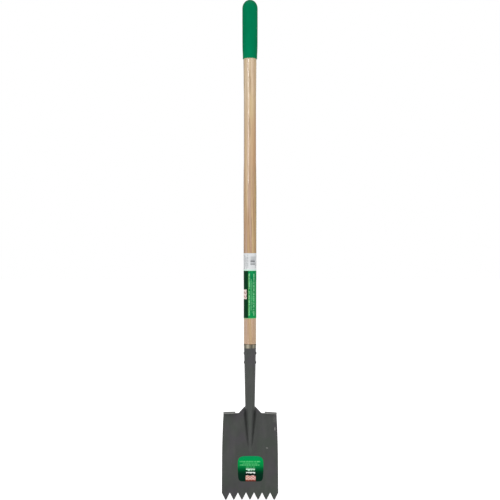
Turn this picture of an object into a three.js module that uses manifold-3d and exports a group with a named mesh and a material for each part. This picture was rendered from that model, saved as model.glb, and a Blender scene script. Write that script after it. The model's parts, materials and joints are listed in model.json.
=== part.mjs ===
// A long-handled spade with a toothed edge, the kind that lifts roof shingles and cuts through roots.
// One pressed steel sheet makes the blade, its two foot treads, its middle ridge and the rolled socket.
// An ash handle is riveted into the socket, a soft sleeve covers its top end, and it has its shop labels.
//
// Millimetres, +Z up the handle, +X to the right, and the hollow front of the blade faces -Y.
// The origin is on the ground under the middle of the spade, with the tooth tips at z = 0.
import * as THREE from "three";
import { mergeVertices } from "three/addons/utils/BufferGeometryUtils.js";
import Module from "manifold-3d";

const wasm = await Module();
wasm.setup();

const { abs, sin, cos, tan, asin, acos, atan, sqrt, min, max, PI } = Math;
const { clamp, degToRad, lerp, smoothstep } = THREE.MathUtils;

// ---- Driving dimensions ----
const overallHeight = 1489;
const gap = 0.35; // clearance left between pieces that touch

// Blade
const sheetThickness = 2;
const toothCount = 7;
const toothDepth = 20;
const tipWidth = 2.4;
const edgeHalfWidth = 83.5; // at the teeth
const treadHalfWidth = 79.4; // at the foot treads
const sideFlareEnd = 110; // the sides widen from the treads down to this height
const treadZ = 254; // the flat top of the foot treads
const lift = degToRad(9.5); // how far the blade leans forward from the handle
const wingTopY = 6; // the blade's face at tread height, behind the handle's axis
const bow = 3; // hollow of the blade along its length
const dish = 5; // hollow of the blade across its width
const dishFade = 8; // the height over which that hollow dies out below the neck

// Foot treads
const treadInnerX = 44;
const treadReach = 16;
const treadBend = 2.5; // inner radius of the fold

// Shoulders, where the blade's top edge climbs to the socket
const dipRadius = 8; // of the hollow between a tread and its shoulder
const shoulderTop = new THREE.Vector2(16.3, 269);
const shoulderSlope = 0.887; // sideways for each unit of height

// Ridge down the middle of the blade
const ridgeEndZ = 132;
const ridgeEndRadius = 7;
const ridgeFillet = 10;
const flankAngle = degToRad(58); // how far the sheet turns at the side of the ridge
const neckFlankAngle = degToRad(96);
const flankTurnsFrom = 240; // the flank starts to close towards the socket here

// Socket
const neckZ = 270; // the ridge turns into the socket here
const neckRadius = 14.5;
const socketTopZ = 457;
const socketTaper = 0.0201; // radius gained for each unit of height
const rimFlare = 0.6;
const rimFlareHeight = 30;
const rimLevels = [0, 1, 2, 3].map((step) => socketTopZ - rimFlareHeight * (1 - step / 3));
const seamClosedZ = 332; // the seam at the back opens into a V below this
const openAngle = degToRad(99); // half the wrap of the sheet at the foot of the V
const seamAngle = degToRad(177.5); // and half of it where the seam is closed
const vFootZ = 276;
const wrapStartZ = 266; // from here up to the foot of the V the sheet's edge turns from shoulder to seam

// Handle
const handleBottomZ = 271;
const handleChamfer = 3;
const boreClearance = 0.6; // between the tapered wood and the inside of the socket
// Radius and height up the bare wood: it swells a little in the hand's reach, as a turned pole does
const handleOutline = [
  [18.2, 457.6], [18.8, 459.6], [18.8, 500], [18.9, 560], [18.95, 680], [19.1, 770], [19.35, 830],
  [19.4, 920], [19.0, 975], [18.4, 1010], [18.3, 1090], [18.3, 1180], [19.0, 1246], [19.55, 1300],
  [19.6, 1320], [19.6, 1440],
];

// Grip
const gripBottomZ = 1311.5;
const gripRadius = 23;
const gripDomeHeight = 26;
const gripWallAtTop = 3.2;
// How far the sleeve stays inside its radius, and how high above its bottom
const gripTaper = [[1.9, 0], [1.5, 1.2], [1.3, 14], [0.3, 38], [0, 110]];

// Rivets
const rivetShankRadius = 2.4;
const rivetHeights = { upper_rivet: 429.5, lower_rivet: 402 };
const rightHead = { radius: 4.4, height: 1.5 };
const leftHead = { radius: 4.1, height: 1.1 };

// Labels
const paper = 0.3;
const handleLabel = { bottom: 534.5, top: 676.8 };
const barcodeLabel = { bottom: 677.1, top: 729.5 };
const bladeLabel = { centreX: 1.8, centreZ: 87.5, halfWidth: 38.4, halfHeight: 36.2, squareness: 4.5 };

// ---- Materials ----
const steelPaint = new THREE.MeshStandardMaterial({ color: 0x4d504d, roughness: 0.5, metalness: 0.3 });
const ash = new THREE.MeshStandardMaterial({ color: 0xc4a47e, roughness: 0.55, metalness: 0 });
const greenVinyl = new THREE.MeshStandardMaterial({ color: 0x04754e, roughness: 0.45, metalness: 0 });
const greenPaper = new THREE.MeshStandardMaterial({ color: 0x14793f, roughness: 0.5, metalness: 0 });
const whitePaper = new THREE.MeshStandardMaterial({ color: 0xdcdfe0, roughness: 0.5, metalness: 0 });

// ---- Solids: closing, cutting and naming meshes ----
const cutDepth = 200; // a cutting tool reaches right through the spade
const roundSegments = 32;
const rivetSegments = 16;

function solidOf(geometry) {
  const bare = geometry.index ? geometry.toNonIndexed() : geometry.clone();
  bare.deleteAttribute("normal");
  bare.deleteAttribute("uv");
  const merged = mergeVertices(bare, 1e-3);
  return new wasm.Manifold(
    new wasm.Mesh({
      numProp: 3,
      vertProperties: merged.attributes.position.array,
      triVerts: new Uint32Array(merged.index.array),
    }),
  );
}

function geometryOf(solid) {
  const mesh = solid.getMesh();
  const geometry = new THREE.BufferGeometry();
  geometry.setAttribute("position", new THREE.BufferAttribute(mesh.vertProperties, 3));
  geometry.setIndex(new THREE.BufferAttribute(mesh.triVerts, 1));
  return geometry;
}

function cutAway(geometry, tools) {
  const solid = tools.reduce((left, tool) => left.subtract(solidOf(tool)), solidOf(geometry));
  return geometryOf(solid);
}

// A closed body of two skins. Each block is a grid of { front, back } point pairs, with its columns running
// to +X and its rows to +Z, and blocks are joined where they hold the same pairs.
function sheetGeometry(blocks) {
  const pairs = [...new Set(blocks.flat(2))];
  const indexOf = new Map(pairs.map((pair, i) => [pair, i]));
  const quads = blocks.flatMap((rows) =>
    rows.slice(1).flatMap((upper, r) =>
      upper.slice(1).map((corner, c) => {
        const round = [rows[r][c], rows[r][c + 1], corner, upper[c]];
        return round.map((pair) => indexOf.get(pair));
      }),
    ),
  );
  const edges = quads.flatMap((q) => q.map((from, k) => [from, q[(k + 1) % 4]]));
  const seen = new Set(edges.map(([from, to]) => `${from},${to}`));
  const rim = edges.filter(([from, to]) => !seen.has(`${to},${from}`));

  const behind = pairs.length;
  const points = [...pairs.map((p) => p.front), ...pairs.map((p) => p.back)];
  const triangles = [];
  const addQuad = (a, b, c, d) => {
    const acIsShorter = points[a].distanceTo(points[c]) < points[b].distanceTo(points[d]);
    triangles.push(...(acIsShorter ? [a, b, c, a, c, d] : [a, b, d, b, c, d]));
  };
  quads.forEach(([a, b, c, d]) => {
    addQuad(a, b, c, d);
    addQuad(d + behind, c + behind, b + behind, a + behind);
  });
  rim.forEach(([from, to]) => addQuad(to, from, from + behind, to + behind));

  const geometry = new THREE.BufferGeometry();
  geometry.setFromPoints(points);
  geometry.setIndex(triangles);
  return geometry;
}

function named(name, geometry, material) {
  const mesh = new THREE.Mesh(geometry, material);
  mesh.name = name;
  return mesh;
}

// ---- The pressed steel sheet, as a front face with its thickness behind it ----
const topSlope = atan(tan(lift) - (4 * bow) / treadZ); // of the blade's face at tread height
const foldStartZ = treadZ - sheetThickness - treadBend * (1 + sin(topSlope));
const toothPitch = (2 * edgeHalfWidth) / toothCount;
const toothFlankX = (toothPitch - tipWidth) / 2;

function wingY(z) {
  const down = (treadZ - z) / treadZ;
  return wingTopY - (treadZ - z) * tan(lift) + 4 * bow * down * (1 - down);
}

function dishAt(x) {
  return -dish * (x / edgeHalfWidth) ** 2;
}

function bladeHalfWidth(z) {
  const up = max(z - sideFlareEnd, 0) / (treadZ - sideFlareEnd);
  return edgeHalfWidth - (edgeHalfWidth - treadHalfWidth) * up ** 2;
}

// Beside the neck the sheet's edge is an arc round the dip, and from dipEndZ a straight shoulder
const dipTurn = atan(1 / shoulderSlope);
const dipEndZ = foldStartZ + dipRadius * (1 - cos(dipTurn));
const dipX = straightShoulderX(dipEndZ) + dipRadius * sin(dipTurn);

function straightShoulderX(z) {
  return shoulderTop.x + (shoulderTop.y - z) * shoulderSlope;
}

function shoulderX(z) {
  if (z > dipEndZ) return straightShoulderX(z);
  return dipX - sqrt(dipRadius ** 2 - (dipRadius - z + foldStartZ) ** 2);
}

function socketRadius(z) {
  const flare = max(z - (socketTopZ - rimFlareHeight), 0) / rimFlareHeight;
  return neckRadius + (z - neckZ) * socketTaper + rimFlare * flare ** 2;
}

// Half of the section at a height: round ridge or socket, straight flank, fillet, then the flat wing.
// "at" gives x, y and the direction of the sheet at a distance along it from the middle.
function sectionAt(z) {
  const down = clamp((neckZ - z) / (neckZ - ridgeEndZ), 0, 1);
  const radius = z > neckZ ? socketRadius(z) : lerp(neckRadius, ridgeEndRadius, down);
  const top = z > neckZ ? -radius : min(lerp(-neckRadius, wingY(ridgeEndZ), down), wingY(z));
  const height = wingY(z) - top;
  const bothRadii = radius + ridgeFillet;
  const steepest = lerp(flankAngle, neckFlankAngle, smoothstep(z, flankTurnsFrom, neckZ));
  const flattest = acos(max(1 - height / bothRadii, -1));
  const turn = max(min(steepest, flattest), wrapAngle(z));
  const flank = turn > 0 ? max(height - bothRadii * (1 - cos(turn)), 0) / sin(turn) : 0;
  const footX = bothRadii * sin(turn) + flank * cos(turn);
  const footLength = bothRadii * turn + flank;

  function at(distance) {
    const round = min(distance / radius, turn);
    const straight = clamp(distance - radius * turn, 0, flank);
    const fillet = clamp((distance - radius * turn - flank) / ridgeFillet, 0, turn);
    const flat = max(distance - footLength, 0);
    const hollow = turn - fillet;
    return {
      x: radius * sin(round) + straight * cos(turn) + ridgeFillet * (sin(turn) - sin(hollow)) + flat,
      y: top + radius * (1 - cos(round)) + straight * sin(turn) + ridgeFillet * (cos(hollow) - cos(turn)),
      angle: fillet > 0 ? hollow : round,
    };
  }
  return { radius, turn, footX, footLength, at };
}

// How far round the handle the sheet wraps: the V at the back closes on the way up
function wrapAngle(z) {
  return z < neckZ ? 0 : lerp(openAngle, seamAngle, smoothstep(z, vFootZ, seamClosedZ));
}

// The distance along the sheet from the middle to its edge beside the neck
function neckEdge(z) {
  const { radius, turn, footX, footLength } = sectionAt(min(z, neckZ));
  const x = shoulderX(min(z, neckZ));
  const intoFillet = clamp((footX - x) / ridgeFillet, 0, sin(min(turn, PI / 2)));
  const onShoulder = x > footX ? footLength + x - footX : footLength - ridgeFillet * asin(intoFillet);
  const onSocket = socketRadius(z) * (z > vFootZ ? wrapAngle(z) : openAngle);
  return lerp(onShoulder, onSocket, smoothstep(z, wrapStartZ, vFootZ));
}

// The front point and the back point of the sheet at a place on a section
function pairAt({ x, y, angle }, z, side) {
  const dished = smoothstep(neckZ - z, 0, dishFade);
  const lean = angle - atan((2 * dish * x) / edgeHalfWidth ** 2) * dished;
  const front = new THREE.Vector3(side * x, y + dishAt(x) * dished, z);
  const through = new THREE.Vector3(-side * sin(lean), cos(lean), 0).multiplyScalar(sheetThickness);
  return { front, back: front.clone().add(through) };
}

// Columns from the middle outwards: over the ridge, to the dip, and along the tread
const ridgeColumns = 10;
const dipColumns = 3;
const treadColumns = 5;
const ridgeZoneX = 12.5; // the ridge's columns never crowd closer than this

function bladeColumn(z, column) {
  const section = sectionAt(z);
  const zoneX = max(section.footX, ridgeZoneX);
  const zoneLength = section.footLength + zoneX - section.footX;
  if (column <= ridgeColumns) return section.at((zoneLength * column) / ridgeColumns);
  const topZoneX = sectionAt(foldStartZ).footX;
  const share = (x) => (x - topZoneX) / (treadHalfWidth - topZoneX);
  const outwards = column - ridgeColumns;
  const along =
    outwards <= dipColumns
      ? share(lerp(topZoneX, dipX, outwards / dipColumns))
      : share(lerp(treadInnerX, treadHalfWidth, (outwards - dipColumns - 1) / (treadColumns - 1)));
  return section.at(zoneLength + along * (bladeHalfWidth(z) - zoneX));
}

function neckColumn(z, column) {
  const edge = neckEdge(z);
  const section = sectionAt(z);
  const zone = min(section.footLength, (edge * ridgeColumns) / (ridgeColumns + dipColumns));
  if (column <= ridgeColumns) return section.at((zone * column) / ridgeColumns);
  return section.at(lerp(zone, edge, (column - ridgeColumns) / dipColumns));
}

// One row of point pairs, from the left end to the right, mirrored about the middle
function sheetRow(z, lastColumn, columnAt) {
  return Array.from({ length: 2 * lastColumn + 1 }, (_, i) => {
    const column = i - lastColumn;
    return pairAt(columnAt(z, abs(column)), z, Math.sign(column));
  });
}

// The fold that carries the blade's top edge forward into a flat tread, row by row
function treadRows(topEdge) {
  const foldSteps = 4;
  const bent = (centre, radius, turn) =>
    new THREE.Vector3(centre.x, centre.y + radius * cos(turn), centre.z + radius * sin(turn));
  const centres = topEdge.map(({ front }) =>
    new THREE.Vector3(front.x, front.y - treadBend * cos(topSlope), treadZ - sheetThickness - treadBend),
  );
  const rows = [topEdge];
  for (let step = 1; step <= foldSteps; step++) {
    const turn = lerp(-topSlope, PI / 2, step / foldSteps);
    const row = centres.map((centre) => ({
      front: bent(centre, treadBend, turn),
      back: bent(centre, treadBend + sheetThickness, turn),
    }));
    rows.push(row);
  }
  const reach = new THREE.Vector3(0, -treadReach, 0);
  const tip = ({ front, back }) => ({ front: front.clone().add(reach), back: back.clone().add(reach) });
  return [...rows, rows.at(-1).map(tip)];
}

function bladeAndSocket() {
  const lastColumn = ridgeColumns + dipColumns + treadColumns;
  const bladeLevels = [0, 30, 60, 90, 118, 132, 140, 150, 160, 175, 190, 205, 220, 234, foldStartZ];
  const blade = bladeLevels.map((z) => sheetRow(z, lastColumn, bladeColumn));

  const dipLevels = [1, 2, 3].map((step) => foldStartZ + dipRadius * (1 - cos((dipTurn * step) / 3)));
  const shoulderLevels = [254, 258, 262, 266, 269, 272, vFootZ];
  const socketLevels = [284, 296, 308, 320, seamClosedZ, ...rimLevels];
  const neckLast = ridgeColumns + dipColumns;
  const topRow = blade.at(-1);
  const shared = topRow.slice(lastColumn - neckLast, lastColumn + neckLast + 1);
  const aboveBlade = [...dipLevels, ...shoulderLevels, ...socketLevels];
  const neck = [shared, ...aboveBlade.map((z) => sheetRow(z, neckLast, neckColumn))];

  const leftTread = treadRows(topRow.slice(0, treadColumns));
  const rightTread = treadRows(topRow.slice(-treadColumns));
  const sheet = sheetGeometry([blade, neck, leftTread, rightTread]);
  return cutAway(sheet, [...toothNotches(), ...rivetHoles()]);
}

// Wedges that cut the straight edge into teeth: whole ones between the teeth and a half at each end
function toothNotches() {
  const below = 1;
  const flankAtMouth = toothFlankX * (1 + below / toothDepth);
  return Array.from({ length: toothCount + 1 }, (_, i) => {
    const x = i * toothPitch - edgeHalfWidth;
    const wedge = new THREE.Shape([
      new THREE.Vector2(x - flankAtMouth, -below),
      new THREE.Vector2(x + flankAtMouth, -below),
      new THREE.Vector2(x, toothDepth),
    ]);
    return throughCut(new THREE.ExtrudeGeometry(wedge, { depth: cutDepth, bevelEnabled: false }));
  });
}

function throughCut(extruded) {
  return extruded.translate(0, 0, -cutDepth / 2).rotateX(PI / 2);
}

function rivetHoles() {
  const radius = rivetShankRadius + gap;
  return Object.values(rivetHeights).map((z) =>
    new THREE.CylinderGeometry(radius, radius, cutDepth, rivetSegments).rotateZ(PI / 2).translate(0, 0, z),
  );
}

// ---- Round pieces, turned about +Z ----
function turned(profile) {
  return new THREE.LatheGeometry(profile, roundSegments).rotateX(PI / 2);
}

function handleRadius(z) {
  const above = handleOutline.findIndex((point) => point[1] >= z);
  const [upperRadius, upperZ] = handleOutline[above];
  const [lowerRadius, lowerZ] = handleOutline[above - 1];
  return lerp(lowerRadius, upperRadius, (z - lowerZ) / (upperZ - lowerZ));
}

// A quarter ellipse from the side of a domed end up to its top
function dome(radius, height, topZ, steps) {
  const below = Array.from({ length: steps - 1 }, (_, i) => {
    const turn = ((i + 1) / steps) * (PI / 2);
    return new THREE.Vector2(radius * cos(turn), topZ - height + height * sin(turn));
  });
  return [...below, new THREE.Vector2(0, topZ)];
}

function handleShaft() {
  const inSocket = (z) => socketRadius(z) - sheetThickness - boreClearance;
  const [endRadius] = handleOutline.at(-1);
  const endHeight = gripDomeHeight - gripWallAtTop;
  const endTop = overallHeight - gripWallAtTop - gap;
  const profile = [
    new THREE.Vector2(0, handleBottomZ),
    new THREE.Vector2(inSocket(handleBottomZ) - handleChamfer / 2, handleBottomZ),
    new THREE.Vector2(inSocket(handleBottomZ + handleChamfer), handleBottomZ + handleChamfer),
    ...rimLevels.map((z) => new THREE.Vector2(inSocket(z), z)),
    ...handleOutline.map(([radius, z]) => new THREE.Vector2(radius, z)),
    new THREE.Vector2(endRadius, endTop - endHeight),
    ...dome(endRadius, endHeight, endTop, 5),
  ];
  return cutAway(turned(profile), rivetHoles());
}

function endGrip() {
  const outer = [
    ...gripTaper.map(([inside, up]) => new THREE.Vector2(gripRadius - inside, gripBottomZ + up)),
    new THREE.Vector2(gripRadius, overallHeight - gripDomeHeight),
    ...dome(gripRadius, gripDomeHeight, overallHeight, 7),
  ];
  const boreRadius = handleOutline.at(-1)[0] + gap;
  const boreTop = overallHeight - gripWallAtTop;
  const boreDome = gripDomeHeight - gripWallAtTop;
  const inner = [
    new THREE.Vector2(boreRadius, gripBottomZ),
    new THREE.Vector2(boreRadius, boreTop - boreDome),
    ...dome(boreRadius, boreDome, boreTop, 5),
  ];
  return turned([...inner.reverse(), ...outer]);
}

// A paper band wrapped round the handle
function wrappedLabel({ bottom, top }) {
  const inside = [bottom, top].map((z) => new THREE.Vector2(handleRadius(z) + gap, z));
  const outside = inside.map((point) => new THREE.Vector2(point.x + paper, point.y));
  return turned([...outside, ...inside.reverse(), outside[0].clone()]);
}

// ---- Rivets: a shank right through, a domed head on the right, a flatter hammered one on the left ----
function rivet(z) {
  const seat = socketRadius(z) + gap;
  const head = ({ radius, height }) => [
    new THREE.Vector2(radius, seat),
    new THREE.Vector2(radius, seat + height / 4),
    ...dome(radius, (height * 3) / 4, seat + height, 4),
  ];
  const mirrored = head(leftHead).map((point) => new THREE.Vector2(point.x, -point.y));
  const profile = [
    ...mirrored.reverse(),
    new THREE.Vector2(rivetShankRadius, -seat),
    new THREE.Vector2(rivetShankRadius, seat),
    ...head(rightHead),
  ];
  return new THREE.LatheGeometry(profile, rivetSegments).rotateZ(-PI / 2).translate(0, 0, z);
}

// ---- The label on the blade's face: a square with round corners that follows the hollow of the steel ----
function bladeLabelSheet() {
  const { centreX, centreZ, halfWidth, halfHeight, squareness } = bladeLabel;
  const steps = 6;
  const shares = Array.from({ length: 2 * steps + 1 }, (_, i) => i / steps - 1);
  const pairOn = (u, v) => {
    const round = (abs(u) ** squareness + abs(v) ** squareness) ** (1 / squareness);
    const pull = round > 0 ? max(abs(u), abs(v)) / round : 1;
    const x = centreX + halfWidth * u * pull;
    const z = centreZ + halfHeight * v * pull;
    const y = wingY(z) + dishAt(x) - gap;
    return { front: new THREE.Vector3(x, y - paper, z), back: new THREE.Vector3(x, y, z) };
  };
  return sheetGeometry([shares.map((v) => shares.map((u) => pairOn(u, v)))]);
}

// ---- The spade ----
const frontmostY = wingY(0) + dishAt(edgeHalfWidth - toothFlankX);
const spade = new THREE.Group();
spade.position.y = -(frontmostY + gripRadius) / 2;
spade.add(
  named("blade_and_socket", bladeAndSocket(), steelPaint),
  named("handle_shaft", handleShaft(), ash),
  named("end_grip", endGrip(), greenVinyl),
  named("handle_label", wrappedLabel(handleLabel), greenPaper),
  named("barcode_label", wrappedLabel(barcodeLabel), whitePaper),
  named("blade_label", bladeLabelSheet(), greenPaper),
);
for (const [name, z] of Object.entries(rivetHeights)) {
  spade.add(named(name, rivet(z), steelPaint));
}

const root = new THREE.Group();
root.add(spade);

export default root;
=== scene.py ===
"""The looks of a toothed long-handled spade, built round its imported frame.

Every piece is modelled in millimetres in the frame's own axes (+Z up the handle, -Y the hollow front of
the blade) and put into the scene in metres.
"""

import json
from math import acos, asin, atan, ceil, cos, degrees, pi, radians, sin, sqrt, tan

import bpy
import bmesh
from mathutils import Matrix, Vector, noise


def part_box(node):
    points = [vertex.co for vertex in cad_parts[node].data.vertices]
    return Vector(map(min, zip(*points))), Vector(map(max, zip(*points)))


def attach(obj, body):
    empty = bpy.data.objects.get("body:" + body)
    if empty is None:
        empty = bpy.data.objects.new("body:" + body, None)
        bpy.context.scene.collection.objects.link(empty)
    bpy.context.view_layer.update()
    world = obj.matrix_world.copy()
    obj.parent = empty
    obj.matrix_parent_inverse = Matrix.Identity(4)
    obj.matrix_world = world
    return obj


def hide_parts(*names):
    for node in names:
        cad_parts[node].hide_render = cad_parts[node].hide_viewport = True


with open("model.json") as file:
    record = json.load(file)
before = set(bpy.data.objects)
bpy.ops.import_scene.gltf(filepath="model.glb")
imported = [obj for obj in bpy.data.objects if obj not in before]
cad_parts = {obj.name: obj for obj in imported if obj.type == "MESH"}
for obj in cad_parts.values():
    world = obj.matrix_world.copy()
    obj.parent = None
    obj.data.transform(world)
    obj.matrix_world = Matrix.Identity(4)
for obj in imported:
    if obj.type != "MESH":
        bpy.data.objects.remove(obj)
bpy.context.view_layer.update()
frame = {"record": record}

MM = 0.001  # metres in a millimetre
BODY = "root"


# ---------------------------------------------------------------- sizes from the frame, in millimetres
def box_mm(node):
    low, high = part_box(node)
    return low / MM, high / MM


blade_low, blade_high = box_mm("blade_and_socket")
wood_low, wood_high = box_mm("handle_shaft")
grip_low, grip_high = box_mm("end_grip")
mounts = {mount["name"]: mount for mount in frame["record"]["mounts"]}

HANDLE_Y = (wood_low.y + wood_high.y) / 2
TREAD_Z = mounts["right_tread_top"]["pos_m"][2] / MM
SOCKET_TOP_Z = blade_high.z

# The pressed sheet, with the CAD model's sizes
THICKNESS = 2.0
TOOTH_COUNT = 7
TOOTH_DEPTH = 20.0
TIP_WIDTH = 2.4
EDGE_HALF_WIDTH = 83.5
TREAD_HALF_WIDTH = 79.4
SIDE_FLARE_END = 110.0
LIFT = radians(9.5)
WING_TOP_Y = 6.0
BOW = 3.0
DISH = 5.0
DISH_FADE = 8.0
TREAD_INNER_X = 44.0
TREAD_REACH = 16.0
TREAD_BEND = 2.5
DIP_RADIUS = 8.0
SHOULDER_TOP = (16.3, 269.0)
SHOULDER_SLOPE = 0.887
RIDGE_END_Z = 132.0
RIDGE_END_RADIUS = 7.0
RIDGE_FILLET = 10.0
FLANK_ANGLE = radians(58)
NECK_FLANK_ANGLE = radians(96)
FLANK_TURNS_FROM = 240.0
NECK_Z = 270.0
NECK_RADIUS = 14.5
SOCKET_TAPER = 0.0201
RIM_FLARE = 0.6
RIM_FLARE_HEIGHT = 30.0
SEAM_CLOSED_Z = 332.0
OPEN_ANGLE = radians(99)
SEAM_ANGLE = radians(177.5)
WRAP_START_Z = 266.0
V_FOOT_Z = 276.0

# What the pressed sheet has only here
EDGE_ROUND = 0.35
TIP_CLEARANCE = 0.02  # keeps the rounded tips of the teeth above the frame's foot
TREAD_CORNER = 4.5
TREAD_DROOP = 1.3  # of the front edges
LEFT_TREAD_SAG = 0.6  # of the outer ends
RIGHT_TREAD_SAG = 2.2


# ---------------------------------------------------------------- small numeric helpers
def clamp(value, low, high):
    return max(low, min(high, value))


def lerp(a, b, share):
    return a + (b - a) * share


def smoothstep(value, low, high):
    share = clamp((value - low) / (high - low), 0.0, 1.0)
    return share * share * (3 - 2 * share)


def spread(low, high, step):
    """Evenly spaced values from low to high, with both ends, about step apart."""
    count = max(1, ceil((high - low) / step))
    return [lerp(low, high, i / count) for i in range(count + 1)]


# ---------------------------------------------------------------- meshes and objects
def put_in_scene(name, bm, material, closed=True):
    """Turns a bmesh in millimetres into a piece of the spade, in metres."""
    if closed:
        bmesh.ops.recalc_face_normals(bm, faces=bm.faces)
    bmesh.ops.scale(bm, vec=(MM, MM, MM), verts=bm.verts)
    mesh = bpy.data.meshes.new(name)
    bm.to_mesh(mesh)
    bm.free()
    piece = bpy.data.objects.new(name, mesh)
    bpy.context.scene.collection.objects.link(piece)
    mesh.materials.append(material)
    return piece


def apply_modifiers(piece):
    depsgraph = bpy.context.evaluated_depsgraph_get()
    done = bpy.data.meshes.new_from_object(piece.evaluated_get(depsgraph))
    piece.modifiers.clear()
    rough = piece.data
    piece.data = done
    bpy.data.meshes.remove(rough)


def shade(piece, crease_degrees=38):
    piece.data.shade_smooth()
    piece.data.set_sharp_from_angle(angle=radians(crease_degrees))


def hand_over(piece, node):
    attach(piece, BODY)
    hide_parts(node)


def grid_mesh(bm, rows):
    """Adds a sheet of quads between rows of vertices."""
    for lower, upper in zip(rows, rows[1:]):
        for i in range(len(lower) - 1):
            bm.faces.new((lower[i], lower[i + 1], upper[i + 1], upper[i]))


def turned_skin(bm, profile, segments, place):
    """Adds a skin turned from (radius, height) points, where place(radius, turn, height) is a point of it.

    A radius of 0 is the tip of a fan of triangles.
    """
    rings = []
    for radius, height in profile:
        count = segments if radius else 1
        rings.append([bm.verts.new(place(radius, 2 * pi * k / segments, height)) for k in range(count)])
    for lower, upper in zip(rings, rings[1:]):
        for k in range(segments):
            j = (k + 1) % segments
            corners = [(lower, k), (lower, j), (upper, j), (upper, k)]
            bm.faces.new(dict.fromkeys(ring[i % len(ring)] for ring, i in corners))


def round_handle(radius, turn, z):
    """The point at a radius from the handle's axis and an angle from its front."""
    return radius * sin(turn), HANDLE_Y - radius * cos(turn), z


def arc(centre, radius, start_degrees, end_degrees, steps, height=None):
    """Points on a circle, or on an ellipse of another height, in (radius, height) profile coordinates."""
    rise = radius if height is None else height
    angles = [radians(lerp(start_degrees, end_degrees, i / steps)) for i in range(steps + 1)]
    return [(centre[0] + radius * cos(a), centre[1] + rise * sin(a)) for a in angles]


# ---------------------------------------------------------------- node trees
class Nodes:
    """A node tree, with short calls for the nodes that the materials and the world share."""

    def __init__(self, tree):
        self.tree = tree
        self.coordinates = self.add("ShaderNodeTexCoord")
        self.place = self.coordinates.outputs["Object"]

    def add(self, kind, inputs=None, **settings):
        node = self.tree.nodes.new(kind)
        for key, value in settings.items():
            setattr(node, key, value)
        for key, value in (inputs or {}).items():
            self.feed(node.inputs[key], value)
        return node

    def feed(self, socket, value):
        if isinstance(value, bpy.types.NodeSocket):
            self.tree.links.new(value, socket)
        else:
            socket.default_value = value

    def math(self, operation, a, b=0.0):
        return self.add("ShaderNodeMath", {0: a, 1: b}, operation=operation).outputs[0]

    def times(self, *factors):
        product = factors[0]
        for factor in factors[1:]:
            product = self.math("MULTIPLY", product, factor)
        return product

    def plus(self, *terms):
        total = terms[0]
        for term in terms[1:]:
            total = self.math("ADD", total, term)
        return total

    def plus_vector(self, vector, shift):
        return self.add("ShaderNodeVectorMath", {0: vector, 1: (shift,) * 3}, operation="ADD").outputs[0]

    def capped(self, value):
        """The value, or 1 where it is above 1."""
        return self.math("MINIMUM", value, 1.0)

    def axes(self, vector):
        return self.add("ShaderNodeSeparateXYZ", {0: vector}).outputs

    def stretched(self, x, y, z, turn=(0, 0, 0)):
        """The place on the piece in metres, scaled along each axis and turned."""
        inputs = {"Vector": self.place, "Scale": (x, y, z), "Rotation": turn}
        return self.add("ShaderNodeMapping", inputs).outputs[0]

    def noise(self, where, scale=1.0, detail=3.0, roughness=0.5, distortion=0.0):
        inputs = {"Vector": where, "Scale": scale, "Detail": detail, "Roughness": roughness}
        return self.add("ShaderNodeTexNoise", {**inputs, "Distortion": distortion}).outputs[0]

    def remap(self, value, low, high, to_low=0.0, to_high=1.0, smooth=False):
        inputs = {"Value": value, "From Min": low, "From Max": high, "To Min": to_low, "To Max": to_high}
        kind = "SMOOTHSTEP" if smooth else "LINEAR"
        return self.add("ShaderNodeMapRange", inputs, interpolation_type=kind).outputs[0]

    def within(self, value, low, high, soft):
        """1 between two values and 0 outside them, with soft ends."""
        risen = self.remap(value, low - soft, low + soft, smooth=True)
        fallen = self.remap(value, high - soft, high + soft, 1.0, 0.0, smooth=True)
        return self.times(risen, fallen)

    def ramp(self, value, stops):
        node = self.add("ShaderNodeValToRGB", {0: value})
        elements = node.color_ramp.elements
        for position, _ in stops[1:-1]:
            elements.new(position)
        for element, (position, colour) in zip(elements, stops):
            element.position = position
            element.color = colour
        return node.outputs[0]

    def mix(self, share, a, b):
        node = self.add("ShaderNodeMix", data_type="RGBA")
        self.feed(node.inputs["Factor"], share)
        self.feed(node.inputs[6], a)
        self.feed(node.inputs[7], b)
        return node.outputs[2]

    def bump(self, height, depth_mm, normal=None):
        node = self.add("ShaderNodeBump", {"Height": height, "Distance": depth_mm * MM, "Strength": 1.0})
        if normal is not None:
            self.feed(node.inputs["Normal"], normal)
        return node.outputs[0]


class Shader(Nodes):
    """A material built on one Principled shader."""

    def __init__(self, name):
        self.material = bpy.data.materials.new(name)
        self.material.use_nodes = True
        super().__init__(self.material.node_tree)
        self.bsdf = self.tree.nodes["Principled BSDF"]

    def surface(self, **inputs):
        for key, value in inputs.items():
            self.feed(self.bsdf.inputs[key.replace("_", " ")], value)
        return self.material


def srgb(red, green, blue):
    """A colour from 0 to 255 values, in the linear numbers that shaders take."""
    def linear(value):
        value /= 255
        return value / 12.92 if value <= 0.04045 else ((value + 0.055) / 1.055) ** 2.4
    return (linear(red), linear(green), linear(blue), 1.0)


# ---------------------------------------------------------------- materials
GREEN_SHEEN = (0.1, 1.0, 0.62, 1.0)  # the tint of the light that green vinyl and green ink throw back
RIM_BAND = 11.5  # the height of the band below the socket's rim that the black paint doesn't cover


def handle_angle_and_height(s):
    """The angle round the handle in degrees from its front, and the height in millimetres."""
    x, y, z = s.axes(s.place)
    towards_front = s.math("SUBTRACT", HANDLE_Y * MM, y)
    return s.times(s.math("ARCTAN2", x, towards_front), degrees(1)), s.times(z, 1 / MM)


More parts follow.
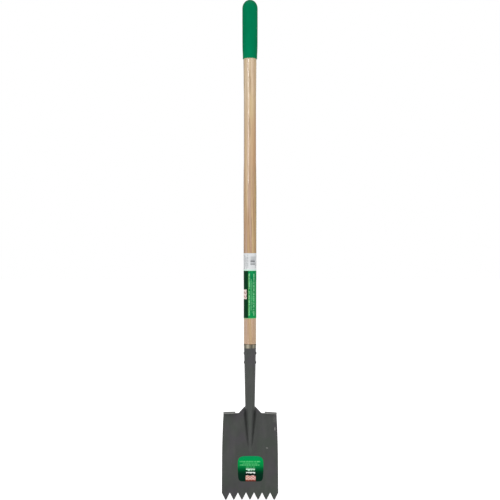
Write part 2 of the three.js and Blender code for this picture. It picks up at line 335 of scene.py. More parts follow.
def dark_paint(s, cloud, smear):
    """Baked paint with faint tints, pale specks and hairline scratches on a slant."""
    speck = s.noise(s.place, scale=1100, detail=2)
    hue = s.noise(s.stretched(22, 22, 16), detail=2)
    tone = s.plus(s.times(cloud, 0.6), s.times(smear, 0.4))
    paint = s.ramp(tone, [(0.3, srgb(45, 47, 45)), (0.5, srgb(52, 55, 52)), (0.7, srgb(63, 64, 62))])
    paint = s.mix(s.remap(hue, 0.52, 0.64, 0, 0.6), paint, srgb(47, 57, 47))
    paint = s.mix(s.remap(hue, 0.47, 0.36, 0, 0.6), paint, srgb(58, 53, 60))
    paint = s.mix(s.remap(speck, 0.66, 0.8, 0, 0.3), paint, srgb(100, 102, 98))
    scratch = s.noise(s.stretched(700, 700, 45, (0, radians(38), 0)), detail=1)
    fine = s.times(s.remap(scratch, 0.76, 0.82), s.remap(cloud, 0.5, 0.62))
    return s.mix(s.times(fine, 0.5), paint, srgb(120, 120, 114))


def worn_places_and_painted_light(s, paint, height, grain):
    """Painted shade on the flanks beside the ridge, the treads rubbed paler with a painted highlight on their
    tops, and scuffs in three places in front.
    """
    x = s.times(s.axes(s.place)["X"], 1 / MM)
    facing = s.axes(s.coordinates.outputs["Normal"])
    sideways = s.math("ABSOLUTE", facing["X"])
    # Painted shade: the flanks beside the ridge are darkened in the colour where they face sideways.
    painted_ridge_shade = s.times(s.remap(sideways, 0.22, 0.6, smooth=True), s.within(height, 152, 262, 8))
    paint = s.mix(s.times(painted_ridge_shade, 0.75), paint, srgb(26, 29, 27))
    # The treads are rubbed paler, and this paler colour is also a painted highlight on their tops.
    beyond_dip = s.remap(s.math("ABSOLUTE", x), TREAD_INNER_X - 1, TREAD_INNER_X)
    on_tread = s.times(beyond_dip, s.remap(height, FOLD_START_Z, TREAD_Z - 3))
    trodden_and_lit = s.times(on_tread, s.remap(grain, 0.3, 0.6, 0.55, 0.95))
    paint = s.mix(trodden_and_lit, paint, srgb(142, 142, 139))
    scuffs = s.plus(
        s.times(s.within(x, 73, 77, 1), s.within(height, 199, 208, 2)),
        s.times(s.within(x, 48, 54, 1), s.within(height, 146, 149, 1)),
        s.times(s.within(x, 69, 81, 3), s.within(height, 222, 246, 5), 0.22),
    )
    in_front = s.remap(facing["Y"], 0, -0.3)
    scuffed = s.times(scuffs, in_front, s.remap(grain, 0.35, 0.6, 0.2, 0.9))
    return s.mix(scuffed, paint, srgb(132, 132, 128))


def rim_varnish_and_highlights(s, angle, smear):
    """Bare steel under thin varnish, with pale streaks up it that are painted highlights, and a dark streak.
    """
    # Painted highlights: two pale streaks at fixed angles round the band.
    painted_highlights = s.plus(s.within(angle, -36, -8, 9), s.times(s.within(angle, 26, 44, 6), 0.55))
    varnish = s.mix(s.remap(smear, 0.35, 0.65), srgb(88, 84, 68), srgb(106, 101, 84))
    varnish = s.mix(s.capped(painted_highlights), varnish, srgb(158, 152, 133))
    return s.mix(s.times(s.within(angle, 13, 22, 3), 0.85), varnish, srgb(52, 50, 40))


def painted_steel():
    """Dark paint with rubbed edges and painted shade beside the ridge, painted highlights on the treads, and
    a band below the socket's rim that has only varnish, with painted highlights up it.
    """
    s = Shader("painted_steel")
    angle, height = handle_angle_and_height(s)
    cloud = s.noise(s.stretched(16, 16, 10), detail=4)
    smear = s.noise(s.stretched(110, 110, 9), detail=3)
    grain = s.noise(s.place, scale=240, detail=4)
    worn = s.add("ShaderNodeAttribute", attribute_name="worn").outputs["Fac"]
    rubbed = s.times(s.remap(worn, 0.35, 1.0), s.remap(grain, 0.36, 0.62))
    paint = worn_places_and_painted_light(s, dark_paint(s, cloud, smear), height, grain)
    paint = s.mix(s.times(rubbed, 0.6), paint, srgb(112, 112, 107))
    wavy_height = s.plus(height, s.times(smear, 2))
    band = s.remap(wavy_height, SOCKET_TOP_Z - RIM_BAND, SOCKET_TOP_Z - RIM_BAND + 2, smooth=True)
    peel = s.noise(s.place, scale=520, detail=2, roughness=0.4)
    dents = s.noise(s.stretched(40, 40, 30), detail=1)
    rough = s.plus(s.remap(smear, 0.3, 0.7, 0.42, 0.56), s.times(rubbed, -0.08), s.times(band, -0.14))
    return s.surface(
        Base_Color=s.mix(band, paint, rim_varnish_and_highlights(s, angle, smear)),
        Metallic=s.times(band, 0.35),
        Roughness=rough,
        Normal=s.bump(dents, 0.5, s.bump(peel, 0.04)),
    )


PITH_X = 0.046  # the middle of the tree's rings, in metres
PITH_Y = 0.03
RINGS_PER_METRE = 290.0


def early_wood(s, x, y, z):
    """1 in the open wood where each yearly ring meets the next, round a pith outside the handle."""
    drift = s.noise(s.stretched(18, 18, 2.2), detail=2)
    sway = s.remap(z, 0.3, 1.4, -0.006, 0.008)
    from_pith_x = s.plus(x, sway, -PITH_X, s.times(drift, 0.012))
    from_pith_y = s.plus(y, -PITH_Y)
    squares = s.plus(s.times(from_pith_x, from_pith_x), s.times(from_pith_y, from_pith_y))
    ring = s.math("FRACT", s.times(s.math("SQRT", squares), RINGS_PER_METRE))
    return s.plus(s.remap(ring, 0.0, 0.16, 1, 0, smooth=True), s.remap(ring, 0.86, 1.0, 0, 1, smooth=True))


def wood_tone(s, x, z):
    """The wood's colour along the handle: warm at its foot and pale under the sleeve."""
    return s.ramp(
        s.remap(s.plus(z, s.times(x, -8.0)), wood_low.z * MM, wood_high.z * MM),
        [
            (0.00, srgb(174, 138, 99)),
            (0.19, srgb(175, 139, 98)),
            (0.40, srgb(171, 130, 93)),
            (0.45, srgb(181, 146, 107)),
            (0.53, srgb(179, 143, 107)),
            (0.61, srgb(186, 153, 118)),
            (0.68, srgb(201, 172, 140)),
            (0.77, srgb(205, 180, 148)),
            (0.85, srgb(208, 187, 158)),
            (1.00, srgb(208, 187, 158)),
        ],
    )


def ash_wood():
    """Straight-grained ash under thin lacquer: yearly rings, pores in lines, and slow changes of tint."""
    s = Shader("ash_wood")
    x, y, z = s.axes(s.place)
    early = early_wood(s, x, y, z)
    broad = s.noise(s.stretched(85, 85, 2.0), detail=2)
    tint = s.plus(s.noise(s.stretched(105, 105, 3.0), detail=2, distortion=0.3), s.times(x, 6.0))
    streak = s.noise(s.stretched(420, 420, 6), detail=4, roughness=0.65)
    colour = s.mix(s.remap(tint, 0.51, 0.62, 0, 0.7), wood_tone(s, x, z), srgb(194, 170, 118))
    colour = s.mix(s.remap(tint, 0.48, 0.38, 0, 0.8), colour, srgb(188, 160, 143))
    colour = s.mix(s.remap(broad, 0.53, 0.64, 0, 0.5), colour, srgb(226, 202, 168))
    colour = s.mix(s.remap(streak, 0.5, 0.3, 0, 0.55), colour, srgb(150, 112, 78))
    colour = s.mix(s.times(early, s.remap(streak, 0.3, 0.6, 0.1, 0.42)), colour, srgb(150, 113, 76))
    pores = s.noise(s.stretched(2000, 2000, 75), detail=1)
    pore = s.times(s.remap(pores, 0.6, 0.7), s.plus(0.25, s.times(early, 0.75)))
    colour = s.mix(s.times(pore, 0.6), colour, srgb(104, 72, 46))
    fleck = s.noise(s.stretched(260, 260, 14), detail=1)
    colour = s.mix(s.remap(fleck, 0.64, 0.72, 0, 0.55), colour, srgb(134, 102, 70))
    across, up = s.times(x, 1 / MM), s.times(z, 1 / MM)
    heartwood = s.times(s.remap(across, -1, 7, smooth=True), s.within(up, 985, 1130, 25))
    colour = s.mix(s.times(heartwood, 0.6), colour, srgb(190, 150, 110))
    marks = s.plus(
        s.times(s.within(across, -1.0, 1.0, 0.8), s.within(up, 1208, 1256, 10)),
        s.times(s.within(across, 0.0, 2.2, 0.8), s.within(up, 1093, 1128, 10)),
    )
    colour = s.mix(s.times(marks, s.remap(streak, 0.38, 0.56, 0.95, 0.2)), colour, srgb(130, 98, 66))
    relief = s.plus(s.times(streak, 0.4), s.times(pore, -1.0), s.times(early, -0.25))
    return s.surface(
        Base_Color=colour,
        Roughness=s.remap(streak, 0.3, 0.7, 0.5, 0.62),
        Normal=s.bump(relief, 0.07),
        Coat_Weight=1.0,
        Coat_Roughness=0.07,
    )


def green_vinyl():
    s = Shader("green_vinyl")
    cloud = s.noise(s.stretched(35, 35, 12), detail=3)
    grain = s.noise(s.place, scale=1500, detail=2)
    ripple = s.noise(s.stretched(60, 60, 25), detail=1)
    smudge = s.noise(s.place, scale=120, detail=4, roughness=0.6)
    colour = s.ramp(cloud, [(0.32, srgb(0, 108, 70)), (0.68, srgb(0, 117, 77))])
    colour = s.mix(s.remap(smudge, 0.6, 0.75, 0, 0.25), colour, srgb(4, 125, 85))
    return s.surface(
        Base_Color=colour,
        Specular_IOR_Level=0.12,
        Specular_Tint=GREEN_SHEEN,
        Roughness=s.remap(smudge, 0.35, 0.7, 0.5, 0.62),
        Normal=s.bump(ripple, 0.5, s.bump(grain, 0.025)),
    )


def film_finish(s, colour, roughness, sheen=(1.0, 1.0, 1.0, 1.0)):
    """The finish of a printed sticker: faint ripples in the film over fine print dots."""
    ripple = s.noise(s.stretched(130, 130, 60), detail=2)
    dots = s.noise(s.place, scale=2600, detail=1)
    return s.surface(
        Base_Color=colour,
        Specular_IOR_Level=0.07,
        Specular_Tint=sheen,
        Roughness=s.remap(ripple, 0.3, 0.7, roughness - 0.05, roughness + 0.07),
        Normal=s.bump(ripple, 0.12, s.bump(dots, 0.01)),
    )


def word_row(s, across, along, centre, half_width, start, end, pitch, seed):
    """A row of word-like dashes: no letters, only their rhythm."""
    where = s.add("ShaderNodeCombineXYZ", {0: s.times(along, 1 / pitch), 1: seed}).outputs[0]
    gaps = s.remap(s.noise(where, detail=2, roughness=0.7), 0.40, 0.50)
    place = {0: s.times(along, 2.6 / pitch), 1: s.times(across, 1.3), 2: seed}
    fine = s.add("ShaderNodeCombineXYZ", place).outputs[0]
    strokes = s.remap(s.noise(fine, detail=1), 0.38, 0.56, 0.35, 1.0)
    row = s.within(across, centre - half_width, centre + half_width, half_width * 0.35)
    return s.times(row, s.within(along, start, end, 0.4), gaps, strokes)


def word_rows(s, across, along, rows):
    """Rows of dashes. Each is (centre, half width, start, end, pitch, seed, strength)."""
    return s.plus(*(s.times(word_row(s, across, along, *row), strength) for *row, strength in rows))


def zigzag(s, across, along, pitch, thickness, bottom, rise):
    """A zig-zag line across a label."""
    wave = s.math("PINGPONG", across, pitch / 2)
    line = s.math("ABSOLUTE", s.plus(along, -bottom, s.times(wave, -2 * rise / pitch)))
    return s.remap(line, thickness, thickness * 0.5, smooth=True)


def handle_print():
    """The green label: dark strips up its side and back, broken pale rows and a plain pink motif."""
    s = Shader("printed_green_label")
    angle, height = handle_angle_and_height(s)
    low, high = (v.z for v in box_mm("handle_label"))
    field = s.ramp(
        s.remap(height, low, high),
        [
            (0.0, srgb(4, 124, 66)),
            (0.2, srgb(10, 122, 64)),
            (0.6, srgb(20, 118, 62)),
            (1.0, srgb(6, 122, 72)),
        ],
    )
    cloud = s.noise(s.stretched(160, 160, 40), detail=2)
    field = s.mix(s.remap(cloud, 0.42, 0.62, 0, 0.6), field, srgb(24, 150, 78))
    field = s.mix(s.within(angle, -152, -17, 3), field, srgb(12, 52, 28))
    field = s.mix(s.within(angle, 138, 208, 3), field, srgb(14, 52, 30))
    rows = [
        (-6, 5, low + 8, high - 8, 2.6, 1.7, 0.85),
        (10, 4, low + 24, high - 24, 2.2, 4.1, 0.45),
        (20, 3.5, low + 16, high - 32, 2.2, 6.3, 0.35),
        (37, 6, low + 8, high - 8, 2.8, 9.2, 0.8),
        (66, 4, low + 22, high - 30, 2.2, 12.6, 0.35),
        (96, 7, low + 10, high - 12, 3.0, 15.8, 0.7),
        (118, 4, low + 20, high - 28, 2.2, 18.4, 0.4),
    ]
    colour = s.mix(word_rows(s, angle, height, rows), field, srgb(150, 222, 168))
    border = s.within(angle, -15.5, -12.5, 1)
    colour = s.mix(s.times(border, s.within(height, low + 8, high - 10, 1), 0.6), colour, srgb(140, 180, 96))
    block = s.times(s.within(angle, -86, -32, 2), s.within(height, 592.5, 621, 0.8))
    saw = s.plus(*(zigzag(s, angle, height, 22, 2.0, bottom, 7) for bottom in (596, 608)))
    motif = s.mix(s.capped(saw), srgb(226, 208, 202), srgb(138, 78, 74))
    colour = s.mix(block, colour, motif)
    colour = s.mix(s.within(height, low, low + 1.6, 0.4), colour, srgb(120, 182, 122))
    return film_finish(s, colour, 0.42, GREEN_SHEEN)


def barcode_print():
    """The white end of the label: small grey print, and a barcode of plain bars that codes nothing."""
    s = Shader("printed_white_label")
    angle, height = handle_angle_and_height(s)
    low, high = (v.z for v in box_mm("barcode_label"))
    paper = s.mix(s.noise(s.stretched(90, 90, 50)), srgb(205, 209, 212), srgb(219, 220, 220))
    rows = [
        (-62, 5, low + 5, high - 4, 1.8, 2.2, 0.6),
        (-48, 4, low + 12, high - 7, 1.8, 5.2, 0.55),
        (-35, 4, low + 7, high - 12, 1.8, 8.4, 0.5),
        (-21, 3.5, low + 10, high - 3, 2.0, 11.4, 0.65),
        (-8, 3, low + 24, high - 9, 1.8, 14.4, 0.35),
        (60, 4, low + 8, high - 10, 1.8, 17.6, 0.6),
        (74, 4, low + 12, high - 6, 1.8, 21.6, 0.6),
    ]
    small_print = word_rows(s, angle, height, rows)
    bars_at = s.add("ShaderNodeCombineXYZ", {0: s.times(height, 1.15), 1: 7.3}).outputs[0]
    bars = s.remap(s.noise(bars_at, detail=1), 0.45, 0.53, 0.35, 1.0)
    block = s.times(s.within(angle, 4, 50, 1), s.within(height, 694, 721, 0.4))
    dense = s.plus(s.within(height, 696.0, 701.0, 0.8), s.within(height, 704.0, 708.5, 0.8), 0.4)
    printed = s.plus(small_print, s.times(block, bars, s.capped(dense)))
    colour = s.mix(s.capped(printed), paper, srgb(40, 44, 50))
    colour = s.mix(s.within(height, low - 1, low + 3.4, 0.5), colour, srgb(196, 230, 212))
    return film_finish(s, colour, 0.45)


def fringed_bar(s, x, z, columns, reach, bar, strokes, fringe, across):
    """A bar across the sticker with strokes of uneven length below it. Bands are (low, high) pairs."""
    uneven = s.remap(s.noise(columns, detail=1), 0.42, 0.58, 0.0, reach)
    hanging = s.times(s.within(s.plus(z, uneven), *strokes, 0.4), s.within(z, *fringe, 0.4), 0.75)
    return s.capped(s.times(s.plus(s.within(z, *bar, 0.4), hanging), s.within(x, *across, 0.5)))


def blade_print():
    """The blade's sticker: green that fades to near black, pale rows, two bold bars and a zig-zag motif."""
    s = Shader("printed_blade_label")
    x, _, z = (s.times(axis, 1 / MM) for axis in s.axes(s.place))
    field = s.ramp(
        s.remap(z, 48, 126),
        [
            (0.0, srgb(8, 34, 24)),
            (0.31, srgb(6, 40, 25)),
            (0.41, srgb(0, 60, 30)),
            (0.51, srgb(0, 92, 45)),
            (0.61, srgb(10, 128, 62)),
            (0.80, srgb(0, 150, 72)),
            (1.0, srgb(14, 138, 86)),
        ],
    )
    rows = [
        (107.8, 1.7, -31, 31, 2.6, 1.3, 0.75),
        (103.2, 1.4, -22, 23, 2.2, 3.9, 0.55),
        (98.0, 1.8, -31, 28, 2.6, 6.1, 0.7),
        (92.0, 1.4, -14, 17, 2.2, 8.7, 0.7),
    ]
    colour = s.mix(word_rows(s, z, x, rows), field, srgb(112, 220, 142))
    columns = s.add("ShaderNodeCombineXYZ", {0: s.times(x, 0.30), 1: 3.7}).outputs[0]
    upper = fringed_bar(s, x, z, columns, 5.0, (85.2, 87.6), (85.6, 90.4), (81.0, 86.0), (-12.0, 14.8))
    colour = s.mix(upper, colour, srgb(196, 240, 212))
    columns = s.plus_vector(columns, 5.0)
    lower = fringed_bar(s, x, z, columns, 3.4, (75.6, 78.0), (75.0, 79.6), (73.0, 76.6), (-11.4, 15.2))
    colour = s.mix(lower, colour, srgb(230, 238, 232))
    block = s.times(s.within(x, -13.0, 16.8, 0.5), s.within(z, 55.0, 68.6, 0.5))
    warm = s.mix(s.remap(x, -12, 16), srgb(216, 183, 168), srgb(216, 174, 178))
    saw = s.plus(*(zigzag(s, x, z, 9.5, 1.9, bottom, 5.5) for bottom in (54.0, 61.5)))
    motif = s.mix(s.capped(saw), warm, srgb(190, 114, 94))
    colour = s.mix(block, colour, motif)
    crest = s.times(s.within(x, -14, 18, 0.6), zigzag(s, x, z, 15, 3.8, 69.0, 4.0))
    colour = s.mix(crest, colour, srgb(8, 12, 10))
    foot = s.times(s.within(x, -13.0, 17.4, 0.5), s.within(z, 51.6, 55.0, 0.4))
    colour = s.mix(foot, colour, srgb(112, 44, 30))
    return film_finish(s, colour, 0.36, GREEN_SHEEN)


# ---------------------------------------------------------------- the pressed sheet
TOP_SLOPE = atan(tan(LIFT) - 4 * BOW / TREAD_Z)
FOLD_START_Z = TREAD_Z - THICKNESS - TREAD_BEND * (1 + sin(TOP_SLOPE))
TOOTH_PITCH = 2 * EDGE_HALF_WIDTH / TOOTH_COUNT
DIP_TURN = atan(1 / SHOULDER_SLOPE)
DIP_END_Z = FOLD_START_Z + DIP_RADIUS * (1 - cos(DIP_TURN))


def wing_y(z):
    down = (TREAD_Z - z) / TREAD_Z
    return WING_TOP_Y - (TREAD_Z - z) * tan(LIFT) + 4 * BOW * down * (1 - down)


def dish_at(x):
    return -DISH * (x / EDGE_HALF_WIDTH) ** 2


def blade_half_width(z):
    up = max(z - SIDE_FLARE_END, 0) / (TREAD_Z - SIDE_FLARE_END)
    return EDGE_HALF_WIDTH - (EDGE_HALF_WIDTH - TREAD_HALF_WIDTH) * up ** 2


def straight_shoulder_x(z):
    return SHOULDER_TOP[0] + (SHOULDER_TOP[1] - z) * SHOULDER_SLOPE


DIP_X = straight_shoulder_x(DIP_END_Z) + DIP_RADIUS * sin(DIP_TURN)


def shoulder_x(z):
    if z > DIP_END_Z:
        return straight_shoulder_x(z)
    return DIP_X - sqrt(max(DIP_RADIUS ** 2 - (DIP_RADIUS - z + FOLD_START_Z) ** 2, 0))


def socket_radius(z):
    flare = max(z - (SOCKET_TOP_Z - RIM_FLARE_HEIGHT), 0) / RIM_FLARE_HEIGHT
    return NECK_RADIUS + (z - NECK_Z) * SOCKET_TAPER + RIM_FLARE * flare ** 2


def wrap_angle(z):
    """How far round the handle the sheet wraps: the V at the back closes on the way up."""
    if z < NECK_Z:
        return 0.0
    return lerp(OPEN_ANGLE, SEAM_ANGLE, smoothstep(z, V_FOOT_Z, SEAM_CLOSED_Z))


class Section:
    """Half of the sheet's section at a height: round ridge or socket, straight flank, fillet, flat wing."""

    def __init__(self, z):
        down = clamp((NECK_Z - z) / (NECK_Z - RIDGE_END_Z), 0, 1)
        ridge_line = lerp(-NECK_RADIUS, wing_y(RIDGE_END_Z), down)
        self.radius = socket_radius(z) if z > NECK_Z else lerp(NECK_RADIUS, RIDGE_END_RADIUS, down)
        self.top = -self.radius if z > NECK_Z else min(ridge_line, wing_y(z))
        height = wing_y(z) - self.top
        both_radii = self.radius + RIDGE_FILLET
        steepest = lerp(FLANK_ANGLE, NECK_FLANK_ANGLE, smoothstep(z, FLANK_TURNS_FROM, NECK_Z))
        flattest = acos(max(1 - height / both_radii, -1))
        self.turn = max(min(steepest, flattest), wrap_angle(z))
        spare = max(height - both_radii * (1 - cos(self.turn)), 0)
        self.flank = spare / sin(self.turn) if self.turn > 0 else 0.0
        self.foot_x = both_radii * sin(self.turn) + self.flank * cos(self.turn)
        self.foot_length = both_radii * self.turn + self.flank

    def at(self, distance):
        """(x, y) at a distance along the sheet from its middle."""
        turn = self.turn
        round_ = min(distance / self.radius, turn)
        straight = clamp(distance - self.radius * turn, 0, self.flank)
        fillet = clamp((distance - self.radius * turn - self.flank) / RIDGE_FILLET, 0, turn)
        hollow = turn - fillet
        flat = max(distance - self.foot_length, 0)
        x = self.radius * sin(round_) + straight * cos(turn) + RIDGE_FILLET * (sin(turn) - sin(hollow)) + flat
        y = self.radius * (1 - cos(round_)) + straight * sin(turn) + RIDGE_FILLET * (cos(hollow) - cos(turn))
        return x, self.top + y


def neck_edge(z):
    """The distance along the sheet from its middle to its edge beside the neck."""
    section = Section(min(z, NECK_Z))
    x = shoulder_x(min(z, NECK_Z))
    into_fillet = clamp((section.foot_x - x) / RIDGE_FILLET, 0, sin(min(section.turn, pi / 2)))
    on_shoulder = section.foot_length - RIDGE_FILLET * asin(into_fillet)
    if x > section.foot_x:
        on_shoulder = section.foot_length + x - section.foot_x
    on_socket = socket_radius(z) * (wrap_angle(z) if z > V_FOOT_Z else OPEN_ANGLE)
    return lerp(on_shoulder, on_socket, smoothstep(z, WRAP_START_Z, V_FOOT_Z))


# Columns on each side of the middle: over the ridge, to the dip, and along the tread. They add up to
# seven for each half tooth, so that a column stands on every tip and in every valley.
RIDGE_COLUMNS = 24
DIP_COLUMNS = 8
TREAD_COLUMNS = 17
LAST_COLUMN = RIDGE_COLUMNS + DIP_COLUMNS + TREAD_COLUMNS
NECK_LAST = RIDGE_COLUMNS + DIP_COLUMNS
RIDGE_ZONE_X = 12.5
TEETH_ZONE_Z = 30.0  # above this the rows are straight
TEETH_BLEND_Z = 135.0  # above this the columns gather over the ridge
FINE_ROWS_END_Z = 290.0  # the rows stand closest between the shoulders and here
V_ROWS_END_Z = 335.0  # just above the point where the V at the back closes
HALF_TOOTH = [0.0, 0.95, 1.35, 4.2, 7.2, 10.0, 11.3]  # columns from the middle of a tip to the valley


def tooth_column_x(column):
    half, place = divmod(column, len(HALF_TOOTH))
    half_pitch = TOOTH_PITCH / 2
    if half % 2 == 0:
        return half * half_pitch + HALF_TOOTH[place]
    return half * half_pitch + (half_pitch - HALF_TOOTH[-place] if place else 0)


def tooth_edge_z(x):
    """The height of the cut edge: flat tips, straight flanks and slightly rounded valleys."""
    half_pitch = TOOTH_PITCH / 2
    from_tip = abs((x + half_pitch) % TOOTH_PITCH - half_pitch)
    up_flank = max(from_tip - TIP_WIDTH / 2, 0) / (half_pitch - TIP_WIDTH / 2)
    return min(TOOTH_DEPTH * up_flank, TOOTH_DEPTH - 0.4)


def blade_column(z, column):
    section = Section(z)
    zone_x = max(section.foot_x, RIDGE_ZONE_X)
    zone_length = section.foot_length + zone_x - section.foot_x
    if column <= RIDGE_COLUMNS:
        gathered = zone_length * column / RIDGE_COLUMNS
    else:
        top_zone_x = Section(FOLD_START_Z).foot_x
        outwards = column - RIDGE_COLUMNS
        top_x = lerp(top_zone_x, DIP_X, outwards / DIP_COLUMNS)
        if outwards > DIP_COLUMNS:
            along = (outwards - DIP_COLUMNS - 1) / (TREAD_COLUMNS - 1)
            top_x = lerp(TREAD_INNER_X, TREAD_HALF_WIDTH, along)
        share = (top_x - top_zone_x) / (TREAD_HALF_WIDTH - top_zone_x)
        gathered = zone_length + share * (blade_half_width(z) - zone_x)
    over_teeth = tooth_column_x(column) * blade_half_width(z) / EDGE_HALF_WIDTH
    return section.at(lerp(over_teeth, gathered, smoothstep(z, TEETH_ZONE_Z, TEETH_BLEND_Z)))


def neck_column(z, column):
    edge = neck_edge(z)
    section = Section(z)
    zone = min(section.foot_length, edge * RIDGE_COLUMNS / NECK_LAST)
    if column <= RIDGE_COLUMNS:
        return section.at(zone * column / RIDGE_COLUMNS)
    return section.at(lerp(zone, edge, (column - RIDGE_COLUMNS) / DIP_COLUMNS))


def on_sheet(x, y, z, side):
    """The point of the sheet's front face with its hollow across the blade, in the frame's axes."""
    dished = y + dish_at(x) * smoothstep(NECK_Z - z, 0, DISH_FADE)
    return Vector((side * x, HANDLE_Y + dished, z))


def sheet_row(bm, z, last_column, column_at, z_of=None):
    row = []
    for i in range(-last_column, last_column + 1):
        x, y = column_at(z, abs(i))
        place = on_sheet(x, y, z, -1 if i < 0 else 1)
        if z_of:
            place.z = z_of(x)
            place.y = HANDLE_Y + wing_y(place.z) + dish_at(x)
        row.append(bm.verts.new(place))
    return row


def tread_rows(bm, edge, outwards, sag):
    """The fold from the blade's top edge into a tread with round corners.

    The tread's front edge droops, and its outer end sags.
    """
    rows = [edge]
    centre_z = TREAD_Z - THICKNESS - TREAD_BEND
    centres = [(v.co.x, v.co.y - TREAD_BEND * cos(TOP_SLOPE)) for v in edge]
    fold_steps = 8
    for step in range(1, fold_steps + 1):
        turn = lerp(-TOP_SLOPE, pi / 2, step / fold_steps)
        rise = centre_z + TREAD_BEND * sin(turn)
        rows.append([bm.verts.new((x, y + TREAD_BEND * cos(turn), rise)) for x, y in centres])
    reach_steps = 6
    for step in range(1, reach_steps + 1):
        share = step / reach_steps
        row = []
        for x, y in centres:
            from_end = min(abs(x) - TREAD_INNER_X, abs(edge[outwards].co.x) - abs(x))
            past = max(TREAD_CORNER - from_end, 0)
            rounded = TREAD_CORNER - sqrt(max(TREAD_CORNER ** 2 - past ** 2, 0))
            flat_z = centre_z + TREAD_BEND - TREAD_DROOP * share ** 1.5
            row.append(bm.verts.new((x, y - (TREAD_REACH - rounded) * share, flat_z)))
        rows.append(row)
    for step, row in enumerate(rows[1:], 1):
        bent = min(step / fold_steps, 1)
        for vert in row:
            along = (abs(vert.co.x) - TREAD_INNER_X) / (TREAD_HALF_WIDTH - TREAD_INNER_X)
            vert.co.z -= bent * sag * clamp(along, 0, 1)
    return rows


WORN_BEND = radians(20)


def mark_worn_edges(piece):
    """Writes 1 on the points of the sheet's sharp edges and 0 elsewhere, for the paint to wear by."""
    bm = bmesh.new()
    bm.from_mesh(piece.data)
    layer = bm.verts.layers.float.new("worn")
    for vert in bm.verts:
        bends = [edge.calc_face_angle(0) for edge in vert.link_edges]
        vert[layer] = 1.0 if max(bends) > WORN_BEND else 0.0
    bm.to_mesh(piece.data)
    bm.free()


def sheet_mesh():
    """The sheet's front face: the toothed blade, the neck that wraps into the socket, and the treads."""
    bm = bmesh.new()
    teeth_steps = 8
    rows = []
    for step in range(teeth_steps):
        share = step / teeth_steps
        rows.append(sheet_row(bm, TEETH_ZONE_Z, LAST_COLUMN, blade_column,
                              lambda x: lerp(tooth_edge_z(x), TEETH_ZONE_Z, share)))
    for z in spread(TEETH_ZONE_Z, FOLD_START_Z, 3.0):
        rows.append(sheet_row(bm, z, LAST_COLUMN, blade_column))
    grid_mesh(bm, rows)

    top = rows[-1]
    shared = top[LAST_COLUMN - NECK_LAST : LAST_COLUMN + NECK_LAST + 1]
    dip_levels = [FOLD_START_Z + DIP_RADIUS * (1 - cos(DIP_TURN * k / 5)) for k in range(1, 5)]
    flare_start = SOCKET_TOP_Z - RIM_FLARE_HEIGHT
    levels = dip_levels + spread(DIP_END_Z, FINE_ROWS_END_Z, 1.2)
    levels += spread(FINE_ROWS_END_Z, V_ROWS_END_Z, 3)[1:]
    levels += spread(V_ROWS_END_Z, flare_start, 9)[1:]
    levels += spread(flare_start, SOCKET_TOP_Z, 1.5)[1:]
    neck = [shared] + [sheet_row(bm, z, NECK_LAST, neck_column) for z in levels]
    grid_mesh(bm, neck)
    grid_mesh(bm, tread_rows(bm, top[:TREAD_COLUMNS], 0, LEFT_TREAD_SAG))
    grid_mesh(bm, tread_rows(bm, top[-TREAD_COLUMNS:], -1, RIGHT_TREAD_SAG))
    return bm


def blade_and_socket():
    piece = put_in_scene("spade_blade", sheet_mesh(), painted_steel(), closed=False)
    plate = piece.modifiers.new("plate", "SOLIDIFY")
    plate.thickness = THICKNESS * MM
    plate.offset = -1
    plate.use_even_offset = True
    plate.use_quality_normals = True
    rim = piece.modifiers.new("rim", "BEVEL")
    rim.width = EDGE_ROUND * MM
    rim.segments = 2
    rim.limit_method = "ANGLE"
    rim.angle_limit = radians(55)
    rim.use_clamp_overlap = False
    apply_modifiers(piece)
    for vert in piece.data.vertices:
        vert.co.z = max(vert.co.z, (blade_low.z + TIP_CLEARANCE) * MM)
    mark_worn_edges(piece)
    shade(piece)
    hand_over(piece, "blade_and_socket")
    return piece


# ---------------------------------------------------------------- the handle, its sleeve and its rivets
HANDLE_SEGMENTS = 96
HANDLE_OUTLINE = [  # (radius, height) above the socket
    (18.8, 459.6), (18.8, 500), (18.9, 560), (18.95, 680), (19.1, 770), (19.35, 830), (19.4, 920),
    (19.0, 975), (18.4, 1010), (18.3, 1090), (18.3, 1180), (19.0, 1246), (19.55, 1300), (19.6, 1320),
    (19.6, 1440),
]


def handle_radius(z):
    for (low_radius, low), (high_radius, high) in zip(HANDLE_OUTLINE, HANDLE_OUTLINE[1:]):
        if z <= high:
            return lerp(low_radius, high_radius, smoothstep(z, low, high))
    return HANDLE_OUTLINE[-1][0]


WOOD_CLEARANCE = 0.15
FULL_WOOD_Z = 460.0  # from here up the wood has its full thickness
WOOD_IN_GRIP = 22.0
WOOD_UNEVENNESS = 0.1


def handle_shaft():
    def in_socket(z):
        return socket_radius(z) - THICKNESS - WOOD_CLEARANCE

    def place(radius, turn, z):
        uneven = 0.0
        if radius and z >= SOCKET_TOP_Z + 2:
            uneven = WOOD_UNEVENNESS * noise.noise(Vector((sin(turn), cos(turn), z / 60)))
        return round_handle(radius + uneven, turn, z)

    bottom, top = wood_low.z, grip_low.z + WOOD_IN_GRIP
    profile = [(0, bottom), (in_socket(bottom) - 2.2, bottom), (in_socket(bottom) - 0.6, bottom + 0.6)]
    profile += [(in_socket(bottom + 3), bottom + 3)]
    profile += [(in_socket(z), z) for z in spread(bottom + 8, SOCKET_TOP_Z - 1.5, 10)]
    profile += [(in_socket(SOCKET_TOP_Z) + 0.1, SOCKET_TOP_Z + 0.2), (17.9, SOCKET_TOP_Z + 0.9)]
    profile += [(18.6, SOCKET_TOP_Z + 1.9)]
    profile += [(handle_radius(z), z) for z in spread(FULL_WOOD_Z, top - 2, 9)]
    profile += [(19.4, top), (0, top)]
    bm = bmesh.new()
    turned_skin(bm, profile, HANDLE_SEGMENTS, place)
    piece = put_in_scene("wooden_handle", bm, ash_wood())
    shade(piece, 45)
    hand_over(piece, "handle_shaft")


